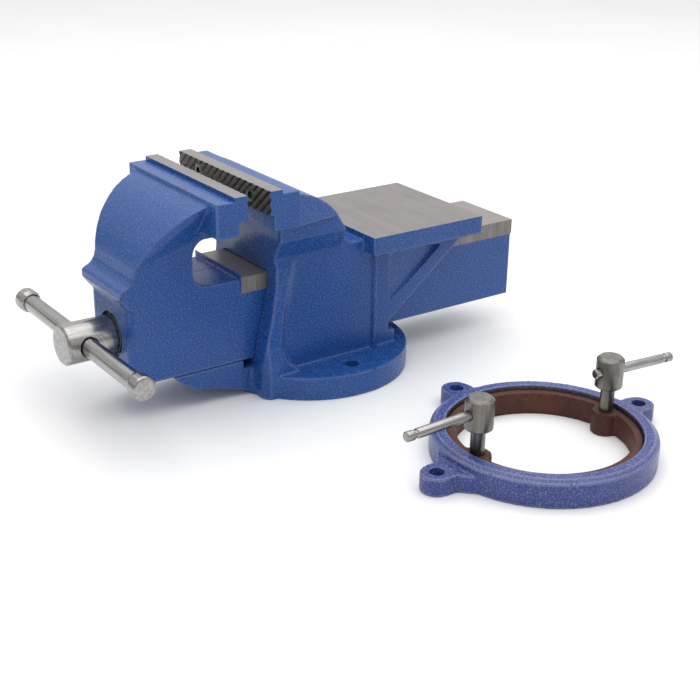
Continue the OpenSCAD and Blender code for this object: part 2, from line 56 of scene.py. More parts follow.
class Shader:
    """Small helper that wires one node tree."""

    def __init__(self, name):
        self.material = bpy.data.materials.new(name)
        self.material.use_nodes = True
        self.tree = self.material.node_tree
        self.bsdf = self.tree.nodes["Principled BSDF"]

    def node(self, kind, inputs=None, **settings):
        made = self.tree.nodes.new(kind)
        for key, value in settings.items():
            setattr(made, key, value)
        for key, value in (inputs or {}).items():
            self.put(made.inputs[key], value)
        return made

    def put(self, socket, value):
        if hasattr(value, "outputs"):
            value = value.outputs[0]
        if isinstance(value, bpy.types.NodeSocket):
            self.tree.links.new(value, socket)
        else:
            socket.default_value = value

    def coords(self, scale=(1, 1, 1)):
        texture = self.node("ShaderNodeTexCoord")
        mapping = self.node("ShaderNodeMapping")
        self.put(mapping.inputs["Vector"], texture.outputs["Object"])
        mapping.inputs["Scale"].default_value = scale
        return mapping.outputs[0]

    def noise(self, vector, scale, detail=2.0, roughness=0.5):
        made = self.node("ShaderNodeTexNoise", {"Scale": scale, "Detail": detail, "Roughness": roughness})
        self.put(made.inputs["Vector"], vector)
        return made.outputs["Fac"]

    def cells(self, vector, scale, smooth=0.6):
        made = self.node("ShaderNodeTexVoronoi", feature="SMOOTH_F1")
        made.inputs["Scale"].default_value = scale
        made.inputs["Smoothness"].default_value = smooth
        self.put(made.inputs["Vector"], vector)
        return made.outputs["Distance"]

    def ramp(self, value, low, high, out_low=0.0, out_high=1.0):
        made = self.node("ShaderNodeMapRange", {
            "From Min": low, "From Max": high, "To Min": out_low, "To Max": out_high})
        made.interpolation_type = "SMOOTHSTEP"
        self.put(made.inputs["Value"], value)
        return made.outputs[0]

    def math(self, operation, a, b=0.0):
        made = self.node("ShaderNodeMath", operation=operation)
        self.put(made.inputs[0], a)
        self.put(made.inputs[1], b)
        return made.outputs[0]

    def mix(self, factor, a, b):
        made = self.node("ShaderNodeMix", data_type="RGBA")
        self.put(made.inputs[0], factor)
        self.put(made.inputs[6], a if not isinstance(a, tuple) else (*a, 1))
        self.put(made.inputs[7], b if not isinstance(b, tuple) else (*b, 1))
        return made.outputs[2]

    def bump(self, height, depth, strength):
        made = self.node("ShaderNodeBump", {"Strength": strength, "Distance": depth})
        self.put(made.inputs["Height"], height)
        return made.outputs[0]

    def finish(self, color, rough, normal=None, metallic=0.0, specular=0.5):
        self.put(self.bsdf.inputs["Base Color"], color)
        self.put(self.bsdf.inputs["Roughness"], rough)
        self.bsdf.inputs["Metallic"].default_value = metallic
        self.bsdf.inputs["Specular IOR Level"].default_value = specular
        if normal is not None:
            self.put(self.bsdf.inputs["Normal"], normal)
        return self.material


# Depths of the bumps in metres
PEEL_DEPTH = 0.00045
LINE_DEPTH = 0.00004
LATHE_DEPTH = 0.00002
SPOT_DEPTH = 0.0001
SAND_DEPTH = 0.0003
CHIP_BROWN = (0.035, 0.030, 0.026)


def shaded(color, share):
    return tuple(share * c for c in color)


def paint(name, dark, light, pale_glint_and_wear_tone, share, grain=640.0):
    """Glossy hammered paint: orange peel, deep flecks, pale flecks that are painted glints, convex edges
    painted paler (worn thin paint and painted highlight), a few brown chips on sharp edges.
    """
    s = Shader(name)
    at = s.coords()
    cloud = s.ramp(s.noise(at, 14.0, 3.0), 0.3, 0.7)
    base = s.mix(cloud, dark, light)
    fine = s.noise(at, grain, 2.0, 0.6)
    base = s.mix(s.ramp(fine, 0.34, 0.47, 0.55, 0.0), base, shaded(dark, 0.62))
    # pale flecks: painted glints of the hammered finish
    base = s.mix(s.ramp(fine, 0.52, 0.68, 0.0, share), base, pale_glint_and_wear_tone)
    edge_wear_and_highlight = s.node("ShaderNodeAttribute", attribute_name="edge_wear_and_highlight").outputs["Fac"]
    patch = s.ramp(s.noise(at, 120.0, 4.0, 0.7), 0.62, 0.64)
    chip = s.math("MULTIPLY", patch, s.ramp(edge_wear_and_highlight, 0.45, 0.8))
    # paler convex edges: worn thin paint and a painted highlight
    base = s.mix(s.ramp(edge_wear_and_highlight, 0.3, 0.9, 0.0, 0.4), base, pale_glint_and_wear_tone)
    base = s.mix(chip, base, CHIP_BROWN)
    peel = s.noise(at, grain * 0.8, 2.0, 0.55)
    hammered = s.cells(at, grain * 0.5)
    height = s.math("ADD", s.math("MULTIPLY", peel, 0.8), s.math("MULTIPLY", hammered, 0.4))
    rough = s.ramp(fine, 0.4, 0.65, 0.22, 0.36)
    return s.finish(base, rough, s.bump(height, PEEL_DEPTH, 0.7), specular=0.4)


def machined(name, dark, light, stretch, rough=(0.34, 0.5), metallic=1.0):
    """Ground or milled iron: long fine lines, faint cutter passes and dull patches."""
    s = Shader(name)
    lines_at = s.coords(stretch)
    plain = s.coords()
    fine = s.noise(lines_at, 900.0, 3.0, 0.6)
    broad = s.noise(lines_at, 160.0, 2.0, 0.5)
    patches = s.noise(plain, 22.0, 4.0, 0.6)
    tone = s.math("ADD", s.math("MULTIPLY", fine, 0.65), s.math("MULTIPLY", broad, 0.35))
    base = s.mix(s.ramp(tone, 0.33, 0.67), dark, light)
    base = s.mix(s.ramp(patches, 0.45, 0.75, 0.0, 0.18), base, shaded(dark, 0.8))
    dull = s.math("ADD", s.math("MULTIPLY", fine, 0.6), s.math("MULTIPLY", patches, 0.4))
    return s.finish(base, s.ramp(dull, 0.35, 0.65, *rough), s.bump(fine, LINE_DEPTH, 0.6), metallic=metallic)


def turned(name, dark, light, rough=(0.2, 0.32), stain=0.2):
    """Drawn or lathe-turned steel: streaks along the piece ('around') and faint rings ('prof')."""
    s = Shader(name)
    around = s.node("ShaderNodeAttribute", attribute_name="around").outputs["Vector"]
    streak = s.noise(around, 1.3, 3.0, 0.6)
    broad = s.noise(around, 0.3, 2.0, 0.5)
    profile = s.node("ShaderNodeAttribute", attribute_name="prof").outputs["Fac"]
    rings = s.node("ShaderNodeTexNoise", {"Scale": 1.0, "Detail": 3.0, "Roughness": 0.6})
    rings.noise_dimensions = "1D"
    s.put(rings.inputs["W"], s.math("MULTIPLY", profile, 1500.0))
    at = s.coords()
    smear = s.noise(at, 60.0, 4.0, 0.65)
    tone = s.math("ADD", s.math("MULTIPLY", streak, 0.35), s.math("MULTIPLY", broad, 0.4))
    tone = s.math("ADD", tone, s.math("MULTIPLY", rings.outputs["Fac"], 0.25))
    base = s.mix(s.ramp(tone, 0.38, 0.62), dark, light)
    base = s.mix(s.ramp(smear, 0.52, 0.74, 0.0, stain), base, shaded(dark, 0.45))
    dull = s.math("ADD", s.math("MULTIPLY", smear, 0.6), s.math("MULTIPLY", streak, 0.4))
    return s.finish(base, s.ramp(dull, 0.35, 0.65, *rough), s.bump(tone, LATHE_DEPTH, 0.6), metallic=1.0)


def knurled(name, crest_at, depth, groove, crest):
    """Hardened plate: dark in the grooves, rubbed bright on the crests. crest_at is in metres along Y."""
    s = Shader(name)
    split = s.node("ShaderNodeSeparateXYZ")
    s.put(split.inputs[0], s.coords())
    below = s.math("ABSOLUTE", s.math("SUBTRACT", split.outputs["Y"], crest_at))
    deep = s.ramp(below, 0.0, depth)
    at = s.coords()
    spots = s.noise(at, 500.0, 3.0, 0.6)
    base = s.mix(s.ramp(deep, 0.05, 0.8), crest, groove)
    base = s.mix(s.ramp(spots, 0.4, 0.7, 0.0, 0.5), base, shaded(groove, 0.6))
    return s.finish(base, s.ramp(spots, 0.3, 0.7, 0.35, 0.6), s.bump(spots, SPOT_DEPTH, 0.6), metallic=0.85)


def rough_iron(name, dark, light, rough=(0.5, 0.75), metallic=0.0, specular=0.4):
    """Sand-cast or primed surface with pits."""
    s = Shader(name)
    at = s.coords()
    tone = s.noise(at, 40.0, 4.0, 0.6)
    sand = s.noise(at, 420.0, 3.0, 0.65)
    pits = s.ramp(s.cells(at, 147.0, 0.2), 0.0, 0.22)
    base = s.mix(s.ramp(tone, 0.35, 0.65), dark, light)
    base = s.mix(s.ramp(sand, 0.45, 0.7, 0.0, 0.4), base, shaded(dark, 0.6))
    height = s.math("ADD", s.math("MULTIPLY", sand, 0.6), s.math("MULTIPLY", pits, 0.4))
    shine = s.ramp(sand, 0.3, 0.7, *rough)
    return s.finish(base, shine, s.bump(height, SAND_DEPTH, 0.7), metallic=metallic, specular=specular)


# The tones are linear colours, the darker one first. The third triple of a machined surface is small
# along its lines.
VISE_BLUE = paint("vise_paint", (0.009, 0.064, 0.262), (0.012, 0.073, 0.288), (0.100, 0.165, 0.350), 0.55)
RING_BLUE = paint("ring_paint", (0.030, 0.052, 0.220), (0.038, 0.062, 0.245), (0.250, 0.270, 0.400), 0.6, 760.0)
MILLED_TOP = machined("milled_top", (0.255, 0.238, 0.232), (0.31, 0.292, 0.286), (0.03, 1.0, 1.0))
MILLED_BEAM = machined("milled_beam", (0.27, 0.245, 0.23), (0.33, 0.305, 0.29), (1.0, 0.03, 1.0), metallic=0.55)
MILLED_RAIL = machined("milled_rail", (0.13, 0.12, 0.112), (0.27, 0.255, 0.24), (1.0, 1.0, 0.03), metallic=0.5)
MILLED_PLATE = machined(
    "milled_plate", (0.27, 0.26, 0.255), (0.34, 0.33, 0.325), (0.04, 1.0, 1.0), rough=(0.3, 0.42))
# bored iron for the insides of holes and bores, its tones darkened as painted shade
SHADED_BORE = machined("shaded_bore", (0.14, 0.13, 0.125), (0.22, 0.21, 0.20), (1.0, 1.0, 0.1), rough=(0.4, 0.6))
BRIGHT = turned("turned_steel", (0.26, 0.25, 0.244), (0.44, 0.43, 0.42))
BOLT = turned("bolt_steel", (0.15, 0.142, 0.13), (0.25, 0.24, 0.22), (0.28, 0.42), stain=0.35)
DULL = turned("fastener_steel", (0.17, 0.165, 0.16), (0.30, 0.29, 0.28), (0.3, 0.5), stain=0.5)
IRON = rough_iron("nut_iron", (0.10, 0.095, 0.09), (0.17, 0.165, 0.155), metallic=0.6)
RED = rough_iron("red_oxide", (0.055, 0.016, 0.011), (0.095, 0.027, 0.017), (0.5, 0.7), specular=0.35)

# ---------------------------------------------------------------- meshes

def build(name, verts, faces, materials, indices=None, sharp=35.0, smooth=True):
    """A mesh object from points in millimetres."""
    mesh = bpy.data.meshes.new(name)
    mesh.from_pydata([tuple(v) for v in np.asarray(verts, float) * MM], [], [list(f) for f in faces])
    for m in materials:
        mesh.materials.append(m)
    if indices is not None:
        mesh.polygons.foreach_set("material_index", np.asarray(indices, np.int32))
    mesh.validate()
    mesh.update()
    made = bpy.data.objects.new(name, mesh)
    scene.collection.objects.link(made)
    if smooth:
        shade(made, sharp)
    return made


def shade(obj, sharp=35.0):
    obj.data.shade_smooth()
    obj.data.set_sharp_from_angle(angle=math.radians(sharp))


def apply_modifiers(obj):
    """Replaces the object's mesh by what its modifiers make of it."""
    graph = bpy.context.evaluated_depsgraph_get()
    made = bpy.data.meshes.new_from_object(obj.evaluated_get(graph))
    old = obj.data
    obj.modifiers.clear()
    obj.data = made
    made.name = obj.name
    bpy.data.meshes.remove(old)
    return obj


def block(low, high):
    """Corner points and faces of a box."""
    (x0, y0, z0), (x1, y1, z1) = low, high
    verts = [(x, y, z) for x in (x0, x1) for y in (y0, y1) for z in (z0, z1)]
    faces = [(0, 1, 3, 2), (4, 6, 7, 5), (0, 4, 5, 1), (2, 3, 7, 6), (0, 2, 6, 4), (1, 5, 7, 3)]
    return verts, faces


def across(axis):
    """The axis as a unit vector, and two more that are square to it."""
    axis = Vector(axis).normalized()
    side = Vector(Z) if abs(axis.z) < 0.9 else Vector(X)
    u = axis.cross(side).normalized()
    return axis, u, axis.cross(u)


def skin(count, rings):
    """Faces of a closed tube made of rings with count points each."""
    faces = [tuple(range(count))[::-1], tuple(range((rings - 1) * count, rings * count))]
    for k in range(rings - 1):
        for i in range(count):
            a, b = k * count + i, k * count + (i + 1) % count
            faces.append((a, b, b + count, a + count))
    return faces


def rod(center, axis, radius, start, end, count=64):
    """Points and faces of a closed cylinder. start and end are along the axis."""
    axis, u, v = across(axis)
    c = Vector(center)
    verts = []
    for s in (start, end):
        for i in range(count):
            a = 2 * math.pi * i / count
            verts.append(tuple(c + axis * s + (u * math.cos(a) + v * math.sin(a)) * radius))
    return verts, skin(count, 2)


def prism(outline, axis, low, high):
    """An outline extruded along X, Y or Z. Its points are in the other two axes, in the order of XYZ."""
    k = "XYZ".index(axis)
    verts = [tuple(np.insert(np.array(p, float), k, s)) for s in (low, high) for p in outline]
    return verts, skin(len(outline), 2)


def joined(*parts):
    """Several (verts, faces) pairs as one."""
    verts, faces = [], []
    for v, f in parts:
        base = len(verts)
        verts += list(v)
        faces += [tuple(i + base for i in face) for face in f]
    return verts, faces


def outward(obj):
    """Turns the faces of a closed mesh outwards."""
    bm = bmesh.new()
    bm.from_mesh(obj.data)
    bmesh.ops.recalc_face_normals(bm, faces=bm.faces)
    bm.to_mesh(obj.data)
    bm.free()
    return obj


def boolean(obj, shape, operation="DIFFERENCE", index=1):
    """Cuts or adds a (verts, faces) shape. The new faces take the material slot with that index."""
    verts, faces = shape
    slots = list(obj.data.materials)
    tool = outward(build("tool", verts, faces, slots, [index] * len(faces), smooth=False))
    modifier = obj.modifiers.new("cut", "BOOLEAN")
    modifier.operation = operation
    modifier.object = tool
    modifier.solver = "MANIFOLD"
    apply_modifiers(obj)
    bpy.data.objects.remove(tool)
    return obj


def metres(mesh):
    co = np.empty(len(mesh.vertices) * 3)
    mesh.vertices.foreach_get("co", co)
    return co.reshape(-1, 3)


def points(mesh):
    """The mesh's points in millimetres."""
    return metres(mesh) / MM


def neighbour_mean(mesh):
    """A function that turns values at the vertices into the means over each vertex's neighbours."""
    count = len(mesh.vertices)
    ends = np.empty(len(mesh.edges) * 2, np.int32)
    mesh.edges.foreach_get("vertices", ends)
    a, b = ends[0::2], ends[1::2]
    degree = np.maximum(np.bincount(a, minlength=count) + np.bincount(b, minlength=count), 1)

    def mean(values):
        return (np.bincount(a, values[b], count) + np.bincount(b, values[a], count)) / degree
    return mean


def soften(mesh, factor, passes):
    """Laplacian smoothing. factor is one number or one per vertex."""
    mean = neighbour_mean(mesh)
    co = metres(mesh)
    factor = np.broadcast_to(factor, len(co))[:, None]
    for _ in range(passes):
        co = co + factor * (np.stack([mean(co[:, k]) for k in range(3)], 1) - co)
    mesh.vertices.foreach_set("co", co.ravel())
    mesh.update()


def store(mesh, name, values):
    """Keeps one number or one vector per vertex as an attribute."""
    values = np.array(values, np.float32)
    kind, field = ("FLOAT", "value") if values.ndim == 1 else ("FLOAT_VECTOR", "vector")
    mesh.attributes.new(name, kind, "POINT").data.foreach_set(field, values.ravel())


def edge_wear_and_highlight_map(mesh, extra=None):
    """Stores how convex the surface is at each vertex, from 0 to 1, as an attribute: the paint chips there and
    turns paler, as worn thin paint and a painted highlight.
    """
    sharpness = 16.0
    mean = neighbour_mean(mesh)
    co = points(mesh)
    normal = np.empty(co.size, np.float32)
    mesh.vertex_normals.foreach_get("vector", normal)
    middle = np.stack([mean(co[:, k]) for k in range(3)], 1)
    bulge = ((co - middle) * normal.reshape(-1, 3)).sum(1)
    for _ in range(2):
        bulge = 0.5 * bulge + 0.5 * mean(bulge)
    edge_wear_and_highlight = np.clip(bulge * sharpness, 0, 1)
    if extra is not None:
        edge_wear_and_highlight = np.clip(edge_wear_and_highlight + extra(co), 0, 1)
    store(mesh, "edge_wear_and_highlight", edge_wear_and_highlight)


def cast(node, name, materials, voxel=1.0, passes=3, stock=(), local=(), edge_wear_and_highlight=None):
    """A sand-cast copy of a CAD node: remeshed finely with its stock, then smoothed so that edges are round."""
    mesh = nodes[node].data.copy()
    mesh.materials.clear()
    obj = bpy.data.objects.new(name, mesh)
    scene.collection.objects.link(obj)
    bm = bmesh.new()
    bm.from_mesh(mesh)
    bmesh.ops.remove_doubles(bm, verts=bm.verts, dist=1e-6)
    for verts, faces in stock:
        part = bpy.data.meshes.new("stock")
        part.from_pydata([tuple(v) for v in np.asarray(verts, float) * MM], [], faces)
        bm.from_mesh(part)
        bpy.data.meshes.remove(part)
    bmesh.ops.recalc_face_normals(bm, faces=bm.faces)
    bm.to_mesh(mesh)
    bm.free()
    modifier = obj.modifiers.new("cast", "REMESH")
    modifier.mode = "VOXEL"
    modifier.voxel_size = voxel * MM
    apply_modifiers(obj)
    obj.data.materials.clear()
    for m in materials:
        obj.data.materials.append(m)
    soften(obj.data, 0.6, passes)
    for weight, more in local:
        soften(obj.data, 0.6 * np.clip(weight(points(obj.data)), 0, 1), more)
    edge_wear_and_highlight_map(obj.data, edge_wear_and_highlight)
    return obj


def rounded(profile, radii, count=4):
    """The profile with each inner corner replaced by an arc. radii has one value per point."""
    made = [profile[0]]
    for i in range(1, len(profile) - 1):
        p, a, b = (np.array(q, float) for q in (profile[i], profile[i - 1], profile[i + 1]))
        r = radii[i] if not np.isscalar(radii) else radii
        u, v = (a - p), (b - p)
        lu, lv = np.linalg.norm(u), np.linalg.norm(v)
        if r <= 0 or lu < 1e-6 or lv < 1e-6:
            made.append(tuple(p))
            continue
        u, v = u / lu, v / lv
        half = math.acos(np.clip(u @ v, -1, 1)) / 2
        reach = min(r / math.tan(half), 0.45 * lu, 0.45 * lv)
        start, end = p + u * reach, p + v * reach
        for t in np.linspace(0, 1, count):
            made.append(tuple((1 - t) ** 2 * start + 2 * t * (1 - t) * p + t ** 2 * end))
    made.append(profile[-1])
    return made


ALONG_SHARE = 0.03  # streaks are this much shorter across a piece than along it


def lathe(name, profile, materials, origin, axis, count=64, sharp=35.0):
    """A solid of revolution. profile is (distance along the axis, radius) in millimetres."""
    axis, u, v = across(axis)
    c = Vector(origin)
    verts, faces, run, around, rings = [], [], [], [], []
    total = 0.0
    last = profile[0]
    for s, r in profile:
        total += math.hypot(s - last[0], r - last[1])
        last = (s, r)
        if r < 1e-6:
            rings.append([len(verts)])
            verts.append(tuple(c + axis * s))
            run.append(total)
            around.append((0, 0, s * ALONG_SHARE))
        else:
            rings.append(list(range(len(verts), len(verts) + count)))
            for i in range(count):
                a = 2 * math.pi * i / count
                verts.append(tuple(c + axis * s + (u * math.cos(a) + v * math.sin(a)) * r))
                run.append(total)
                around.append((r * math.cos(a), r * math.sin(a), s * ALONG_SHARE))
    closed = len(rings[0]) > 1
    pairs = list(zip(rings, rings[1:])) + ([(rings[-1], rings[0])] if closed else [])
    for a, b in pairs:
        for i in range(count):
            j = (i + 1) % count
            quad = [a[i % len(a)], a[j % len(a)], b[j % len(b)], b[i % len(b)]]
            face = list(dict.fromkeys(quad))
            if len(face) > 2:
                faces.append(face)
    obj = outward(build(name, verts, faces, materials, smooth=False))
    store(obj.data, "prof", np.array(run, np.float32) * MM)
    store(obj.data, "around", around)
    shade(obj, sharp)
    return obj


def merge(name, *objs):
    """Joins objects into the first one."""
    target = objs[0]
    slots = []
    for o in objs:
        for m in o.data.materials:
            if m not in slots:
                slots.append(m)
    bm = bmesh.new()
    for o in objs:
        remap = [slots.index(m) for m in o.data.materials]
        index = np.empty(len(o.data.polygons), np.int32)
        o.data.polygons.foreach_get("material_index", index)
        o.data.polygons.foreach_set("material_index", np.array(remap, np.int32)[index])
        bm.from_mesh(o.data)
    mesh = bpy.data.meshes.new(name)
    for m in slots:
        mesh.materials.append(m)
    bm.to_mesh(mesh)
    bm.free()
    for o in objs[1:]:
        bpy.data.objects.remove(o)
    target.data = mesh
    target.name = name
    return target


def stand_for(obj, node, body):
    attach(obj, body)
    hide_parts(node)
    return obj


def step(value, low, high):
    """0 below low, 1 above high."""
    return np.clip((value - low) / (high - low), 0, 1)

# ---------------------------------------------------------------- places taken from the frame

plate_low, plate_high = box_mm("fixed_jaw_plate")
mplate_low, mplate_high = box_mm("moving_jaw_plate")
spin_low, spin_high = box_mm("spindle")
bar_low, bar_high = box_mm("handle_bar")
clamp_low, clamp_high = box_mm("clamp_ring")
nut_low, nut_high = box_mm("spindle_nut")

PLATE_T = plate_high[1] - plate_low[1]
FACE_Y, MFACE_Y = plate_low[1], mplate_high[1]
SPIN_Z = (spin_low[2] + spin_high[2]) / 2
HEAD_R = (spin_high[0] - spin_low[0]) / 2

# Sizes shared with the CAD, in millimetres
JAW_HALF, PLATE_Z, JAW_TOP = 75, 171, 188.3
SCREW_XS, SCREW_Z, SCREW_SINK = (-42.5, 42.5), 181.2, 8.6
TUNNEL_HALF, TUNNEL_LOW, TUNNEL_HIGH = 37.05, 33.1, 109.25
ANVIL_TOP = 129.8
FLANGE_T = 20
CLAMP_X = 69
SEAM_X, SEAM_Y = 48.9, 37.7
BEAM_TOP, RAIL_HALF, RAIL_FRONT, RAIL_LOW = 108.8, 36.6, -92.3, 95.5
CROSS_HOLE_Y, PIN_HOLE_Y = -220.5, -146
NUT_BOLT_YS = (-28, -2)
RING_C = np.array([257.0, 53.0, 0.0])

# ---------------------------------------------------------------- fixed body

def pillar_fillets(co):
    """The soft step from each pillar to the wall behind it."""
    x, y, z = co.T
    along = step(y, -66, -62) * (1 - step(y, -44, -38))
    return (np.abs(x) > 44) * along * step(z, 24, 34) * (1 - step(z, 110, 116))


fixed = cast(
    "fixed_body", "fixed_casting", [VISE_BLUE, MILLED_TOP, SHADED_BORE],
    stock=[
        block((-64.5, 25.5, 124), (64.5, 147, 133)),
        block((-JAW_HALF, -82, 168), (JAW_HALF, -73, JAW_TOP)),
        *[rod((x, 0, 0), Z, 8.5, 3, 20.8) for x in (CLAMP_X, -CLAMP_X)],
        joined(*[rod((x, 0, SCREW_Z), Y, 6, -79, -60) for x in SCREW_XS]),
    ],
    local=[(pillar_fillets, 40)],
    # paler, chipped paint low at the front, from 30.5 to 36 mm up
    edge_wear_and_highlight=lambda co: 0.75 * (co[:, 2] < 36) * (co[:, 1] < -95) * step(co[:, 2], 30.5, 33),
)
boolean(fixed, block((-80, 23, ANVIL_TOP), (80, 160, 140)))
boolean(fixed, block((-80, -100, PLATE_Z), (80, FACE_Y + PLATE_T, 200)))
boolean(fixed, block((-TUNNEL_HALF, -69, TUNNEL_LOW), (TUNNEL_HALF, 160, TUNNEL_HIGH)), index=2)
for x in (-CLAMP_X, CLAMP_X):
    boolean(fixed, rod((x, 0, 0), Z, 6.25, -2, 30), index=0)
# the parting line down each wall, with its foot
for x in (-SEAM_X, SEAM_X):
    boolean(fixed, rod((x, SEAM_Y, 0), Z, 2.0, FLANGE_T, 114, 24), "UNION", index=0)
    boolean(fixed, rod((x, SEAM_Y, 0), Z, 3.6, FLANGE_T, FLANGE_T + 2.4, 24), "UNION", index=0)
# the bead at the bottom of each pocket, along the diagonal rib
for side in (-1, 1):
    low, high = Vector((side * 46.1, 58.5, 61.8)), Vector((side * 43.9, 112.0, 104.4))
    boolean(fixed, rod(low, high - low, 1.3, 0, (high - low).length, 24), "UNION", index=0)
shade(fixed, 28)
stand_for(fixed, "fixed_body", "vise_body")

# ---------------------------------------------------------------- moving jaw

moving = cast(
    "moving_jaw", "moving_casting", [VISE_BLUE, MILLED_BEAM, MILLED_RAIL, SHADED_BORE],
    stock=[
        block((-39.5, -93, RAIL_LOW), (39.5, 208.5, 112)),
        block((-JAW_HALF, -119.5, 168), (JAW_HALF, -113.4, 188.2)),
        rod((0, 0, SPIN_Z), Y, 24, -194.4, -178),
        joined(*[rod((x, 0, SCREW_Z), Y, 6, -134, -116) for x in SCREW_XS]),
    ],
    # paler, chipped paint along the lower front edges of the cheeks
    edge_wear_and_highlight=lambda co: 0.7 * (co[:, 2] < 36.5) * (co[:, 1] < -90) * (np.abs(co[:, 0]) > 34),
)
boolean(moving, block((-60, RAIL_FRONT, BEAM_TOP), (60, 220, 125)))
boolean(moving, joined(
    block((-60, RAIL_FRONT, RAIL_LOW - 2), (-RAIL_HALF, 220, 125)),
    block((RAIL_HALF, RAIL_FRONT, RAIL_LOW - 2), (60, 220, 125))), index=2)
boolean(moving, block((-80, MFACE_Y - PLATE_T, PLATE_Z), (80, -80, 200)))
boolean(moving, rod((0, 0, SPIN_Z), Y, 20.0, -200, -190.5), index=3)
boolean(moving, rod((0, 0, SPIN_Z), Y, 12.3, -200, -170), index=3)
# the fine split along the bottom of the throat
boolean(moving, prism([(-2.3, 108.5), (-0.7, 108.5), (-1.5, 106.6)], "Y", -140, RAIL_FRONT), index=0)
shade(moving, 28)
stand_for(moving, "moving_jaw", "moving_jaw")

# ---------------------------------------------------------------- jaw plates

def grooves(face_y, into, pitch, depth, lean):
    """Parallel V grooves across a plate's face, leaning one way or the other."""
    parts = []
    z0, z1 = plate_low[2] - 4, plate_high[2] + 4
    width = pitch * 0.46
    rise = (z1 - z0) * lean
    x = -JAW_HALF - abs(rise) - pitch
    while x < JAW_HALF + abs(rise) + pitch:
        section = [(-width, -0.2 * depth), (width, -0.2 * depth), (0, depth)]
        verts = [
            (x + s + (z - z0) * lean, face_y + into * d, z)
            for z in (z0, z1) for s, d in section]
        parts.append((verts, [(0, 1, 2), (5, 4, 3), (0, 3, 4, 1), (1, 4, 5, 2), (2, 5, 3, 0)]))
        x += pitch
    return joined(*parts)


def plate(name, node, face_y, into, body):
    low, high = box_mm(node)
    grip = knurled(name + "_grip", face_y * MM, 0.0011, (0.045, 0.041, 0.038), (0.19, 0.173, 0.158))
    obj = build(name, *block(low, high), [MILLED_PLATE, grip, VISE_BLUE, SHADED_BORE], smooth=False)
    outward(obj)
    for pitch, depth, lean in ((9.0, 1.0, 1.1), (4.5, 0.5, -1.2)):
        boolean(obj, grooves(face_y, into, pitch, depth, lean), index=1)
    for x in SCREW_XS:
        sink = sorted((face_y - 2 * into, face_y + SCREW_SINK * into))
        boolean(obj, rod((x, 0, SCREW_Z), Y, 6.8, *sink), index=3)
        boolean(obj, rod((x, 0, SCREW_Z), Y, 4.3, face_y - 20, face_y + 20), index=3)
    for p in obj.data.polygons:
        c, n = p.center / MM, p.normal
        if p.material_index == 0 and (abs(n.x) > 0.9 or n.y * into > 0.9):
            p.material_index = 2
        elif p.material_index == 0 and n.y * into < -0.9:
            p.material_index = 1
    obj.data.shade_flat()
    return stand_for(obj, node, body)


plate("fixed_plate", "fixed_jaw_plate", FACE_Y, 1, "vise_body")
plate("moving_plate", "moving_jaw_plate", MFACE_Y, -1, "moving_jaw")

# ---------------------------------------------------------------- screws, bolts, nut

def socket_screws(name, node, seat_y, into, body):
    made = []
    profile = rounded([
        (-8, 0), (-8, 6.5), (0, 6.5), (0, 4), (15, 4), (15, 0)], [0, 0.8, 0.2, 0.3, 0.8, 0])
    for i, x in enumerate(SCREW_XS):
        screw = lathe(f"{name}_{i}", profile, [DULL], (x, seat_y, SCREW_Z), (0, into, 0), 40)
        boolean(screw, rod((x, seat_y, SCREW_Z), (0, into, 0), 3.5, -9, -4, 6), index=0)
        shade(screw, 30)
        made.append(screw)
    return stand_for(merge(name, *made), node, body)


socket_screws("fixed_screws", "fixed_jaw_screws", FACE_Y + SCREW_SINK, 1, "vise_body")
socket_screws("moving_screws", "moving_jaw_screws", MFACE_Y - SCREW_SINK, -1, "moving_jaw")


def thread(name, radius, depth, pitch, start, end, origin, material):
    """A trapezoid thread along Y, as one closed surface. A right-hand thread runs away clockwise."""
    count, per_pitch, flat, run_out = 48, 10, 0.36, 1.2
    axis, u, v = across(Y)
    c = Vector(origin)
    rings = int(round((end - start) / pitch * per_pitch)) + 1
    verts, run = [], []
    for k in range(rings):
        s = start + (end - start) * k / (rings - 1)
        ease = min(1.0, (s - start) / pitch, (end - s) / pitch)
        for i in range(count):
            phase = (s / pitch - i / count) % 1.0
            tri = abs(2 * phase - 1)
            deep = np.clip((tri - flat) / (1 - 2 * flat), 0, 1)
            r = radius - depth * deep - run_out * (1 - ease) * (1 - deep)
            a = 2 * math.pi * i / count
            verts.append(tuple(c + axis * s + (u * math.cos(a) + v * math.sin(a)) * r))
            run.append(s)
    obj = outward(build(name, verts, skin(count, rings), [material], smooth=False))
    store(obj.data, "prof", np.array(run, np.float32) * MM)
    shade(obj, 50)
    return obj


spin_head = spin_low[1]
shoulder = -194.2
profile = rounded([
    (spin_head, 0), (spin_head, HEAD_R - 1.6), (spin_head + 1.6, HEAD_R), (shoulder - 1, HEAD_R),
    (shoulder, HEAD_R - 1), (shoulder, 12), (-137, 12), (-137, 9.3), (-134, 9.3), (-134, 0)],
    [0, 0.5, 0.5, 0.4, 0.2, 0.3, 0.6, 0, 0, 0])
head = lathe("spindle_head", profile, [BRIGHT], (0, 0, SPIN_Z), Y, 96)
boolean(head, rod((0, CROSS_HOLE_Y, SPIN_Z), X, 8.7, -30, 30, 48), index=0)
boolean(head, rod((0, PIN_HOLE_Y, SPIN_Z), X, 2.55, -30, 30, 32), index=0)
shade(head, 30)
screw = thread("spindle_thread", 12.0, 2.6, 5.0, -136, 144.5, (0, 0, SPIN_Z), DULL)
stand_for(merge("spindle_turned", head, screw), "spindle", "spindle")

for name, node, outer, body in (
        ("thrust_ring", "thrust_washer", None, "moving_jaw"), ("flat_washer", "spring_washer", 19, "spindle")):
    low, high = box_mm(node)
    outer = outer or high[0]
    ring = rounded([(low[1], 12.3), (low[1], outer), (high[1], outer), (high[1], 12.3)], 0.4)
    washer = lathe(name, ring, [DULL], (0, 0, SPIN_Z), Y, 64)
    stand_for(washer, node, body)


